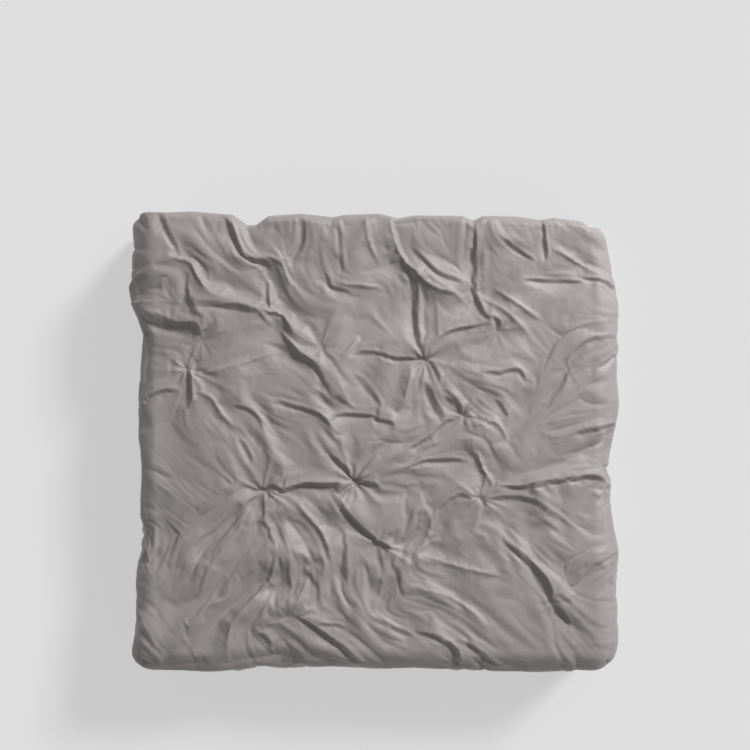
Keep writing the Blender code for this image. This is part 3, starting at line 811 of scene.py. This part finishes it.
class DuvetCoverSettings(bpy.types.PropertyGroup):
    """Sizes and colours of the padded cover"""

    cell: bpy.props.FloatProperty(
        name="Cell", description="Grid of the simulated cloth", default=0.009, min=0.006, unit="LENGTH"
    )
    fold_size: bpy.props.FloatProperty(
        name="Fold size", description="Share of each fold's full height", default=0.84
    )
    growth: bpy.props.FloatProperty(
        name="Spare cloth", description="Spare cloth at the folds", default=7.0, subtype="PERCENTAGE"
    )
    frames: bpy.props.IntProperty(
        name="Frames", description="Length of the settling", default=14, min=2
    )
    crispness: bpy.props.FloatProperty(
        name="Crispness", description="How far crests and creases are sharpened", default=0.6
    )
    thread: bpy.props.FloatProperty(
        name="Thread", description="Distance between two threads", default=0.0004, unit="LENGTH"
    )
    colour: bpy.props.FloatVectorProperty(
        name="Cloth",
        description="Colour of the cotton",
        subtype="COLOR",
        size=4,
        default=(0.310, 0.280, 0.279, 1.0),
    )
    shade: bpy.props.FloatVectorProperty(
        name="Shade",
        description="Second tone of the cotton",
        subtype="COLOR",
        size=4,
        default=(0.280, 0.255, 0.256, 1.0),
    )


class DUVET_OT_cover(bpy.types.Operator):
    """Builds the padded cover with its folds"""

    bl_idname = "duvet.cover"
    bl_label = "Padded cover"

    def execute(self, context):
        settings = context.scene.duvet_cover
        outer, box = outside_mesh(settings)
        points = sharpened(outer, coordinates(outer), settings.crispness * rim_share(box))
        points = cut_zip_slot(pressed_down(points), box)
        set_coordinates(outer, points)
        inner = cap_mesh("cover_inside", settings.cell)
        body = bmesh.new()
        body.from_mesh(inner)
        bmesh.ops.subdivide_edges(body, edges=[edge for edge in body.edges if edge.is_boundary], cuts=1)
        body.to_mesh(inner)
        body.clear()
        inner_box = coordinates(inner).copy()
        set_coordinates(inner, inner_points(inner_box))
        lay_flat(inner, inner_box)
        body.from_mesh(inner)
        bmesh.ops.reverse_faces(body, faces=body.faces)
        body.from_mesh(outer)
        rim = [vert for vert in body.verts if vert.is_boundary]
        bmesh.ops.remove_doubles(body, verts=rim, dist=1e-4)
        if any(edge.is_boundary for edge in body.edges):
            raise RuntimeError("the cover isn't closed round its rim")
        joined = bpy.data.meshes.new("duvet_cover")
        body.to_mesh(joined)
        body.free()
        set_coordinates(joined, draw_in_head(coordinates(joined)))
        cover = new_object("duvet_cover", joined)
        shade_smooth(joined)
        joined.materials.append(cover_material(settings))
        prefixes = ("cover", "ticking", "fill", "baffle", "corner_tie")
        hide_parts(*[name for name in frame["nodes"] if name.startswith(prefixes)])
        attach(cover, "duvet")
        return {"FINISHED"}


# Materials


class Nodes:
    """Adds nodes to a tree, with each input given as a value or as a socket to link."""

    def __init__(self, tree):
        self.tree = tree

    def add(self, kind, inputs=None, **settings):
        node = self.tree.nodes.new(kind)
        for name, value in settings.items():
            setattr(node, name, value)
        for key, value in (inputs or {}).items():
            self.give(node.inputs[key], value)
        return node

    def give(self, socket, value):
        if isinstance(value, bpy.types.NodeSocket):
            self.tree.links.new(value, socket)
        else:
            socket.default_value = value

    def math(self, operation, *values):
        node = self.add("ShaderNodeMath", dict(enumerate(values)), operation=operation)
        return node.outputs[0]

    def noise(self, vector, scale, detail=2.0, roughness=0.5, distortion=0.0):
        inputs = {"Vector": vector, "Scale": scale, "Detail": detail}
        inputs |= {"Roughness": roughness, "Distortion": distortion}
        return self.add("ShaderNodeTexNoise", inputs).outputs["Fac"]

    def span(self, value, low, high, to_low=0.0, to_high=1.0):
        inputs = {"Value": value, "From Min": low, "From Max": high}
        inputs |= {"To Min": to_low, "To Max": to_high}
        return self.add("ShaderNodeMapRange", inputs).outputs["Result"]

    def stretched(self, vector, scale):
        return self.add("ShaderNodeMapping", {"Vector": vector, "Scale": scale}).outputs["Vector"]

    def place(self):
        """The piece's own coordinates, in metres."""
        return self.add("ShaderNodeTexCoord").outputs["Object"]

    def uv(self, name):
        return self.add("ShaderNodeUVMap", uv_map=name).outputs["UV"]

    def split(self, vector):
        return self.add("ShaderNodeSeparateXYZ", {0: vector}).outputs

    def bump(self, height, distance, strength, below=None):
        inputs = {"Height": height, "Distance": distance, "Strength": strength}
        if below is not None:
            inputs["Normal"] = below
        return self.add("ShaderNodeBump", inputs).outputs[0]

    def group(self, make, **inputs):
        """A shared node group, made by its function the first time it is used."""
        tree = bpy.data.node_groups.get(make.__name__) or make()
        return self.add("ShaderNodeGroup", inputs, node_tree=tree).outputs

    def mixed(self, factor, first, second):
        node = self.add("ShaderNodeMix", data_type="RGBA")
        self.give(node.inputs["Factor"], factor)
        self.give(node.inputs["A"], first)
        self.give(node.inputs["B"], second)
        return node.outputs["Result"]


def new_group(name, inputs, outputs):
    """An empty shader node group with sockets, and its input and output nodes."""
    tree = bpy.data.node_groups.new(name, "ShaderNodeTree")
    for socket, kind, value in inputs:
        made = tree.interface.new_socket(socket, in_out="INPUT", socket_type=kind)
        if value is not None:
            made.default_value = value
    for socket, kind in outputs:
        tree.interface.new_socket(socket, in_out="OUTPUT", socket_type=kind)
    nodes = Nodes(tree)
    return nodes, nodes.add("NodeGroupInput").outputs, nodes.add("NodeGroupOutput").inputs


def plain_weave():
    """Plain weave: threads that pass over and under each other, with thick and thin places."""
    nodes, given, result = new_group(
        "plain_weave",
        [("Vector", "NodeSocketVector", None), ("Pitch", "NodeSocketFloat", 0.0004)],
        [("Height", "NodeSocketFloat"), ("Tone", "NodeSocketFloat")],
    )
    where = nodes.split(given["Vector"])
    turn = nodes.math("DIVIDE", math.pi, given["Pitch"])
    along, across = (nodes.math("MULTIPLY", where[axis], turn) for axis in (0, 1))
    warp = nodes.math("ABSOLUTE", nodes.math("SINE", along))
    weft = nodes.math("ABSOLUTE", nodes.math("SINE", across))
    over = nodes.math("MULTIPLY", nodes.math("COSINE", along), nodes.math("COSINE", across))
    crossing = nodes.span(over, -0.5, 0.5)
    up = nodes.math("MULTIPLY", warp, crossing)
    down = nodes.math("MULTIPLY", weft, nodes.math("SUBTRACT", 1.0, crossing))
    thread = nodes.math("ADD", up, down)
    thick = nodes.noise(nodes.stretched(given["Vector"], (900.0, 22.0, 1.0)), 1.0, 1.0)
    thin = nodes.noise(nodes.stretched(given["Vector"], (22.0, 900.0, 1.0)), 1.0, 1.0)
    slub = nodes.math("ADD", thick, thin)
    nodes.give(result["Height"], nodes.math("MULTIPLY", thread, nodes.span(slub, 0.7, 1.3, 0.7, 1.3)))
    nodes.give(result["Tone"], nodes.span(slub, 0.6, 1.4))
    return nodes.tree


def fine_wrinkles():
    """Fine dry wrinkles of washed cotton: sharp low ridges between smooth places."""
    nodes, given, result = new_group(
        "fine_wrinkles",
        [("Vector", "NodeSocketVector", None), ("Scale", "NodeSocketFloat", 60.0)],
        [("Height", "NodeSocketFloat"), ("Patches", "NodeSocketFloat")],
    )
    lines = nodes.noise(given["Vector"], given["Scale"], 2.0, 0.55, 0.7)
    ridge = nodes.math("ABSOLUTE", nodes.math("SUBTRACT", lines, 0.5))
    ridge = nodes.span(ridge, 0.0, 0.22, 1.0, 0.0)
    ridge = nodes.math("POWER", ridge, 2.2)
    patches = nodes.noise(given["Vector"], 7.0, 2.0)
    patches = nodes.span(patches, 0.38, 0.66)
    nodes.give(result["Height"], nodes.math("MULTIPLY", ridge, patches))
    nodes.give(result["Patches"], patches)
    return nodes.tree


def pressed_lines():
    """The faint lines left where the cover was folded flat, along both axes of the cloth."""
    nodes, given, result = new_group(
        "pressed_lines",
        [("Vector", "NodeSocketVector", None)],
        [("Height", "NodeSocketFloat")],
    )
    drift = nodes.noise(given["Vector"], 3.0, 1.0)
    drift = nodes.span(drift, 0.0, 1.0, -0.006, 0.006)
    where = nodes.split(given["Vector"])
    total = 0.0
    for axis, places in ((0, (-0.37, 0.33)), (1, (0.54, -0.15))):
        for place in places:
            off = nodes.math("SUBTRACT", nodes.math("ADD", where[axis], drift), place)
            near = nodes.span(nodes.math("ABSOLUTE", off), 0.0, 0.0035, 1.0, 0.0)
            total = nodes.math("ADD", total, nodes.math("POWER", near, 1.6))
    broken = nodes.span(nodes.noise(given["Vector"], 9.0, 1.0), 0.4, 0.6)
    nodes.give(result["Height"], nodes.math("MULTIPLY", total, broken))
    return nodes.tree


def overlock_stitches():
    """Overlocked edge: slanting thread loops along a ribbon, read from its own UV in metres."""
    nodes, given, result = new_group(
        "overlock_stitches",
        [("Vector", "NodeSocketVector", None), ("Pitch", "NodeSocketFloat", 0.0026)],
        [("Height", "NodeSocketFloat"), ("Thread", "NodeSocketFloat")],
    )
    where = nodes.split(given["Vector"])
    slant = nodes.math("MULTIPLY_ADD", where[1], 0.28, where[0])
    phase = nodes.math("DIVIDE", nodes.math("MULTIPLY", slant, math.pi), given["Pitch"])
    loop = nodes.math("ABSOLUTE", nodes.math("SINE", phase))
    loop = nodes.math("POWER", loop, 0.7)
    twist = nodes.math("SINE", nodes.math("MULTIPLY", nodes.math("ADD", where[1], where[0]), 9000.0))
    nodes.give(result["Height"], nodes.math("MULTIPLY_ADD", twist, 0.12, loop))
    # Thread is 1 on the loops and 0 between them, where the thread's material paints shade.
    nodes.give(result["Thread"], nodes.span(loop, 0.25, 0.6))
    return nodes.tree


def metal_wear():
    """Hairline scratches and patchy grime on metal."""
    nodes, given, result = new_group(
        "metal_wear",
        [("Vector", "NodeSocketVector", None)],
        [("Scratches", "NodeSocketFloat"), ("Grime", "NodeSocketFloat")],
    )
    lines = nodes.noise(nodes.stretched(given["Vector"], (260.0, 9000.0, 260.0)), 1.0, 3.0, 0.6)
    nodes.give(result["Scratches"], nodes.span(lines, 0.42, 0.66))
    nodes.give(result["Grime"], nodes.span(nodes.noise(given["Vector"], 420.0, 3.0), 0.35, 0.75))
    return nodes.tree


def new_material(name):
    """A new material's node helper and its Principled shader."""
    material = bpy.data.materials.new(name)
    material.use_nodes = True
    nodes = Nodes(material.node_tree)
    return material, nodes, material.node_tree.nodes["Principled BSDF"].inputs


def cover_material(settings):
    """Washed cotton percale, matt with a slight bloom, with painted highlights on its wrinkle crests.
    """
    material, nodes, shader = new_material("washed_cotton")
    flat = nodes.uv("cloth")
    place = nodes.place()
    weave = nodes.group(plain_weave, Vector=flat, Pitch=settings.thread)
    fine = nodes.group(fine_wrinkles, Vector=flat, Scale=55.0)
    pressed = nodes.group(pressed_lines, Vector=flat)
    cloud = nodes.noise(place, 2.2, 3.0)
    cloud = nodes.span(cloud, 0.3, 0.7)
    colour = nodes.mixed(cloud, tuple(settings.colour), tuple(settings.shade))
    # The lighter tone, used for the threads' thick places and for the painted highlight on crests.
    light = tuple(min(1.0, value * 1.16) for value in settings.colour[:3]) + (1.0,)
    threads = nodes.math("MULTIPLY", weave["Tone"], 0.35)
    colour = nodes.mixed(threads, colour, light)
    # Painted highlight: the crests of the fine wrinkles and the pressed lines are painted lighter.
    lines = nodes.math("MULTIPLY", pressed["Height"], 0.12)
    painted_crest_highlight = nodes.math("MULTIPLY_ADD", fine["Height"], 0.22, lines)
    colour = nodes.mixed(painted_crest_highlight, colour, light)
    nodes.give(shader["Base Color"], colour)
    rough = nodes.span(weave["Height"], 0.0, 1.0, 0.64, 0.52)
    nodes.give(shader["Roughness"], nodes.math("MULTIPLY_ADD", fine["Patches"], -0.06, rough))
    shader["Specular IOR Level"].default_value = 0.42
    shader["Sheen Weight"].default_value = 0.22
    shader["Sheen Roughness"].default_value = 0.45
    shader["Sheen Tint"].default_value = (0.93, 0.90, 0.89, 1.0)
    deep = nodes.bump(fine["Height"], 0.0003, 0.7)
    line = nodes.bump(pressed["Height"], 0.0005, 0.7, deep)
    yarn = nodes.bump(weave["Height"], 0.00006, 0.6, line)
    nodes.give(shader["Normal"], yarn)
    return material


def thread_material(settings):
    """The hem's overlocked thread, a little lighter than the cloth, with painted shade between its
    loops.
    """
    material, nodes, shader = new_material("overlock_thread")
    stitch = nodes.group(overlock_stitches, Vector=nodes.uv("edge"), Pitch=settings.pitch)
    place = nodes.place()
    fuzz = nodes.noise(place, 900.0, 2.0)
    # Painted shade: the colour darkens between the loops of thread.
    painted_gap_shade = tuple(value * 0.55 for value in settings.colour[:3]) + (1.0,)
    colour = nodes.mixed(stitch["Thread"], painted_gap_shade, tuple(settings.colour))
    colour = nodes.mixed(nodes.span(fuzz, 0.3, 0.8, 0.0, 0.3), colour, (0.45, 0.42, 0.41, 1.0))
    nodes.give(shader["Base Color"], colour)
    nodes.give(shader["Roughness"], nodes.span(fuzz, 0.2, 0.8, 0.6, 0.8))
    shader["Sheen Weight"].default_value = 0.2
    nodes.give(shader["Normal"], nodes.bump(stitch["Height"], 0.0005, 0.9))
    return material


def tape_material():
    """Woven zip tape with fine lengthwise ribs."""
    material, nodes, shader = new_material("woven_tape")
    place = nodes.place()
    turned = nodes.add("ShaderNodeMapping", {"Vector": place, "Rotation": (math.pi / 2, 0.0, 0.0)})
    weave = nodes.group(plain_weave, Vector=turned.outputs["Vector"], Pitch=0.0007)
    where = nodes.split(place)
    ribs = nodes.math("ABSOLUTE", nodes.math("SINE", nodes.math("MULTIPLY", where[2], 2400.0)))
    dust = nodes.noise(place, 60.0, 3.0)
    colour = nodes.mixed(weave["Tone"], (0.20, 0.185, 0.18, 1.0), (0.27, 0.25, 0.245, 1.0))
    colour = nodes.mixed(nodes.span(dust, 0.4, 0.8, 0.0, 0.25), colour, (0.36, 0.34, 0.33, 1.0))
    nodes.give(shader["Base Color"], colour)
    nodes.give(shader["Roughness"], nodes.span(ribs, 0.0, 1.0, 0.8, 0.6))
    height = nodes.math("MULTIPLY_ADD", weave["Height"], 0.4, ribs)
    nodes.give(shader["Normal"], nodes.bump(height, 0.00018, 0.8))
    return material


def coil_material():
    """The zip's nylon monofilament."""
    material, nodes, shader = new_material("nylon_coil")
    place = nodes.place()
    tint = nodes.noise(place, 300.0, 3.0)
    share = nodes.span(tint, 0.3, 0.7)
    colour = nodes.mixed(share, (0.23, 0.215, 0.21, 1.0), (0.30, 0.28, 0.275, 1.0))
    nodes.give(shader["Base Color"], colour)
    nodes.give(shader["Roughness"], nodes.span(tint, 0.2, 0.8, 0.28, 0.42))
    nodes.give(shader["Normal"], nodes.bump(tint, 0.00004, 0.5))
    return material


def metal_material():
    """Brushed nickel with handling wear."""
    material, nodes, shader = new_material("brushed_nickel")
    place = nodes.place()
    wear = nodes.group(metal_wear, Vector=place)
    grime = nodes.math("MULTIPLY", wear["Grime"], 0.5)
    colour = nodes.mixed(grime, (0.58, 0.56, 0.53, 1.0), (0.36, 0.34, 0.32, 1.0))
    nodes.give(shader["Base Color"], colour)
    shader["Metallic"].default_value = 1.0
    rough = nodes.span(wear["Scratches"], 0.0, 1.0, 0.26, 0.46)
    nodes.give(shader["Roughness"], nodes.math("MULTIPLY_ADD", wear["Grime"], 0.1, rough))
    nodes.give(shader["Normal"], nodes.bump(wear["Scratches"], 0.00003, 0.4))
    return material


# Hem and zip


def wrapped_grid(name, count, ring):
    """A grid to wrap into a tube, with each point's number along it and its share of the way round."""
    body = bmesh.new()
    bmesh.ops.create_grid(body, x_segments=count - 1, y_segments=ring, size=0.5)
    mesh = bpy.data.meshes.new(name)
    body.to_mesh(mesh)
    body.free()
    flat = coordinates(mesh)
    return mesh, np.rint((flat[:, 0] + 0.5) * (count - 1)).astype(int), flat[:, 1] + 0.5


def closed_tube(mesh):
    """Welds a wrapped grid along its seam and closes its ends."""
    body = bmesh.new()
    body.from_mesh(mesh)
    bmesh.ops.remove_doubles(body, verts=body.verts, dist=1e-6)
    bmesh.ops.holes_fill(body, edges=[edge for edge in body.edges if edge.is_boundary])
    bmesh.ops.recalc_face_normals(body, faces=body.faces)
    body.to_mesh(mesh)
    body.free()
    shade_smooth(mesh)


def hem_route(step):
    """The hem's line in plan: down the right, round the foot and up the left, as points."""
    corner_x, corner_y = MID_X - EDGE_ROUND, MID_FOOT_Y + EDGE_ROUND
    start_y = HEAD_Y - HEM_START
    length = start_y - corner_y
    count, across = round(length / step), round(2 * corner_x / step)
    quarter, turns = math.pi / 2, 12

    def corner(side, first):
        for number in range(turns):
            angle = -first - quarter * number / turns
            x = side * corner_x + EDGE_ROUND * math.cos(angle)
            yield x, corner_y + EDGE_ROUND * math.sin(angle)

    points = [(MID_X, start_y - length * number / count) for number in range(count)]
    points += corner(1, 0)
    points += [(corner_x - 2 * corner_x * number / across, MID_FOOT_Y) for number in range(across)]
    points += corner(-1, quarter)
    points += [(-MID_X, corner_y + length * number / count) for number in range(count + 1)]
    return np.array(points)


class DuvetHemSettings(bpy.types.PropertyGroup):
    """Sizes and colours of the overlocked hem"""

    thickness: bpy.props.FloatProperty(
        name="Thickness", description="Thickness of the lip", default=0.0024, unit="LENGTH"
    )
    pitch: bpy.props.FloatProperty(
        name="Stitch", description="Distance between two loops", default=0.0026, unit="LENGTH"
    )
    colour: bpy.props.FloatVectorProperty(
        name="Thread",
        description="Colour of the thread",
        subtype="COLOR",
        size=4,
        default=(0.36, 0.335, 0.33, 1.0),
    )


class DUVET_OT_hem(bpy.types.Operator):
    """Builds the overlocked lip that runs round the hem"""

    bl_idname = "duvet.hem"
    bl_label = "Hem seam"

    def execute(self, context):
        settings = context.scene.duvet_hem
        route = hem_route(0.006)
        mesh, index, share = wrapped_grid("hem_lip", len(route), 12)
        turn = share * 2 * math.pi
        run = headings(route)
        outward = np.stack([-run[:, 1], run[:, 0]], axis=1)
        at = run_lengths(route)[index]
        noise = SoftNoise(91)
        high = LIP_TOP + 0.0012
        low = 0.0001 + 0.0004 * (1 + noise(at / 0.03, at * 0))
        bulge, rise = (np.sign(way) * np.abs(way) ** 0.6 for way in (np.cos(turn), np.sin(turn)))
        side = bulge * settings.thickness / 2 + 0.0006 * noise(at / 0.02 + 7, at * 0 + 3)
        plan = route[index] + outward[index] * side[:, None]
        height = (high + low) / 2 + rise * (high - low) / 2
        set_coordinates(mesh, draw_in_head(np.stack([plan[:, 0], plan[:, 1], height], axis=1)))
        corners = loop_vertices(mesh)
        write_uv(mesh, "edge", np.stack([at, share * 0.024], axis=1)[corners])
        closed_tube(mesh)
        mesh.materials.append(thread_material(settings))
        lip = new_object("hem_lip", mesh)
        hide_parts("hem_seam_left", "hem_seam_right", "hem_seam_foot")
        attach(lip, "duvet")
        return {"FINISHED"}


class DuvetZipSettings(bpy.types.PropertyGroup):
    """Sizes of the zip's coil"""

    pitch: bpy.props.FloatProperty(
        name="Tooth pitch", description="Distance between two teeth", default=0.0020, unit="LENGTH"
    )
    wire: bpy.props.FloatProperty(
        name="Filament", description="Radius of the coil's filament", default=0.00042, unit="LENGTH"
    )


def wire_mesh(name, points, wire, ring):
    """A closed round wire along points."""
    mesh, index, share = wrapped_grid(name, len(points), ring)
    turn = (share * 2 * math.pi)[:, None]
    run = headings(points)
    sideways = np.array((1.0, 0.0, 0.0))
    out = sideways - run * (sideways * run).sum(axis=1)[:, None]
    out /= np.linalg.norm(out, axis=1)[:, None]
    up = np.cross(run, out)
    set_coordinates(mesh, points[index] + wire * (out[index] * np.cos(turn) + up[index] * np.sin(turn)))
    closed_tube(mesh)
    return mesh


def coil_mesh(name, low, high, pitch, wire, start):
    """A coil of filament that fills a long box."""
    centre = (low + high) / 2
    half_y, half_z = (high.y - low.y) / 2 - wire, (high.z - low.z) / 2 - wire
    length = high.x - low.x - 2 * wire - start
    turns = int(length / pitch)
    turn = np.linspace(0, turns * 2 * math.pi, turns * 8 + 1)
    x = low.x + wire + start + turn / (2 * math.pi) * pitch
    y, z = centre.y + half_y * np.cos(turn), centre.z + half_z * np.sin(turn)
    return wire_mesh(name, np.stack([x, y, z], axis=1), wire, 5)


class DUVET_OT_zip(bpy.types.Operator):
    """Builds the zip's coils and gives its other parts their materials"""

    bl_idname = "duvet.zip"
    bl_label = "Zip"

    def execute(self, context):
        settings = context.scene.duvet_zip
        nylon = coil_material()
        for number, node in enumerate(("zip_coil_lower", "zip_coil_upper")):
            low, high = (Vector(corner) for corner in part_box(node))
            start = number * settings.pitch / 2
            mesh = coil_mesh(node + "_filament", low, high, settings.pitch, settings.wire, start)
            mesh.materials.append(nylon)
            coil = new_object(node + "_filament", mesh)
            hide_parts(node)
            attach(coil, "duvet")
        tape, metal = tape_material(), metal_material()
        finishes = (
            ("zip_tape_lower", tape, 0),
            ("zip_tape_upper", tape, 0),
            ("zip_stop_left", metal, 0.0002),
            ("zip_stop_right", metal, 0.0002),
            ("zip_slider", metal, 0.00035),
            ("zip_puller", metal, 0.0003),
        )
        for node, material, bevel in finishes:
            part = bpy.data.objects[node]
            part.data.materials.clear()
            part.data.materials.append(material)
            if bevel:
                edge = part.modifiers.new("softened edges", "BEVEL")
                edge.width = bevel
                edge.segments = 2
                edge.limit_method = "ANGLE"
        return {"FINISHED"}


# Studio


class DuvetStudioSettings(bpy.types.PropertyGroup):
    """Lights, floor and camera of the studio"""

    floor_tone: bpy.props.FloatProperty(
        name="Floor", description="Tone of the floor", default=0.39
    )
    floor_glow: bpy.props.FloatProperty(
        name="Glow", description="Light that the floor gives by itself", default=0.478
    )
    key: bpy.props.FloatProperty(
        name="Key light", description="Strength of the soft sun", default=2.0
    )
    key_angle: bpy.props.FloatProperty(
        name="Softness", description="Angle of the sun", default=math.radians(14), subtype="ANGLE"
    )
    window: bpy.props.FloatProperty(
        name="Window", description="Power of the window light on the duvet", default=75.0, unit="POWER"
    )
    ambient: bpy.props.FloatProperty(
        name="Ambient", description="Strength of the light from all round", default=0.32
    )
    backdrop: bpy.props.FloatProperty(
        name="Backdrop", description="Strength of the backdrop, as the camera sees it", default=0.80
    )
    lens: bpy.props.FloatProperty(
        name="Lens", description="Focal length in millimetres", default=65.7
    )
    eye: bpy.props.FloatVectorProperty(
        name="Camera", description="Place of the camera", default=(0.003, 0.227, 5.0), unit="LENGTH"
    )


def facing(direction):
    """The turn of a light that shines from a direction."""
    return direction.to_track_quat("Z", "Y").to_euler()


def studio_floor(settings):
    """A wide pale floor that glows a little, so that shadows on it stay light."""
    body = bmesh.new()
    bmesh.ops.create_grid(body, x_segments=8, y_segments=8, size=80)
    mesh = bpy.data.meshes.new("studio_floor")
    body.to_mesh(mesh)
    body.free()
    material, _, shader = new_material("studio_floor_look")
    shader["Base Color"].default_value = (*(settings.floor_tone,) * 3, 1)
    shader["Roughness"].default_value = 0.95
    shader["Specular IOR Level"].default_value = 0.1
    shader["Emission Color"].default_value = (1, 1, 1, 1)
    shader["Emission Strength"].default_value = settings.floor_glow
    mesh.materials.append(material)
    return new_object("studio_floor", mesh)


class DUVET_OT_studio(bpy.types.Operator):
    """Builds the floor, the lights and the camera"""

    bl_idname = "duvet.studio"
    bl_label = "Studio"

    def execute(self, context):
        scene, settings = context.scene, context.scene.duvet_studio
        floor = studio_floor(settings)

        key = bpy.data.lights.new("key_light", "SUN")
        key.energy = settings.key
        key.angle = settings.key_angle
        new_object("key_light", key).rotation_euler = facing(Vector((0.62, 0.60, 0.60)))

        window = bpy.data.lights.new("window_light", "AREA")
        window.shape = "SQUARE"
        window.size = 1.6
        window.energy = settings.window
        pane = new_object("window_light", window)
        pane.location = (2.3, 2.3, 2.3)
        pane.rotation_euler = facing(pane.location - Vector((-0.2, -0.2, 0.3)))
        unlit = bpy.data.collections.new("unlit_floor")
        unlit.objects.link(floor)
        pane.light_linking.receiver_collection = unlit
        unlit.collection_objects[0].light_linking.link_state = "EXCLUDE"

        world = bpy.data.worlds.new("studio_world")
        world.use_nodes = True
        nodes = Nodes(world.node_tree)
        seen = nodes.add("ShaderNodeLightPath").outputs["Is Camera Ray"]
        sky = world.node_tree.nodes["Background"].inputs
        sky["Color"].default_value = (0.9, 0.9, 0.9, 1)
        strength = nodes.span(seen, 0.0, 1.0, settings.ambient, settings.backdrop)
        nodes.give(sky["Strength"], strength)
        scene.world = world

        camera = bpy.data.cameras.new("camera")
        camera.lens = settings.lens
        camera.clip_end = 200
        eye = new_object("camera", camera)
        eye.location = settings.eye
        scene.camera = eye
        scene.view_settings.view_transform = "Standard"
        return {"FINISHED"}


class DUVET_PT_panel(bpy.types.Panel):
    """Lists the duvet's pieces"""

    bl_idname = "DUVET_PT_panel"
    bl_label = "Draped duvet"
    bl_space_type = "VIEW_3D"
    bl_region_type = "UI"
    bl_category = "Duvet"

    def draw(self, context):
        for piece, kind in SETTINGS.items():
            self.layout.operator(f"duvet.{piece}")
            settings = getattr(context.scene, f"duvet_{piece}")
            for name in kind.__annotations__:
                self.layout.prop(settings, name)


SETTINGS = {
    "cover": DuvetCoverSettings,
    "hem": DuvetHemSettings,
    "zip": DuvetZipSettings,
    "studio": DuvetStudioSettings,
}
OPERATORS = (DUVET_OT_cover, DUVET_OT_hem, DUVET_OT_zip, DUVET_OT_studio)
CLASSES = (*SETTINGS.values(), *OPERATORS, DUVET_PT_panel)


def register():
    for kind in CLASSES:
        bpy.utils.register_class(kind)
    for piece, kind in SETTINGS.items():
        setattr(bpy.types.Scene, f"duvet_{piece}", bpy.props.PointerProperty(type=kind))


def unregister():
    for piece in SETTINGS:
        delattr(bpy.types.Scene, f"duvet_{piece}")
    for kind in reversed(CLASSES):
        bpy.utils.unregister_class(kind)


def main():
    register()
    bpy.ops.duvet.cover()
    bpy.ops.duvet.hem()
    bpy.ops.duvet.zip()
    bpy.ops.duvet.studio()


if __name__ == "__main__":
    main()
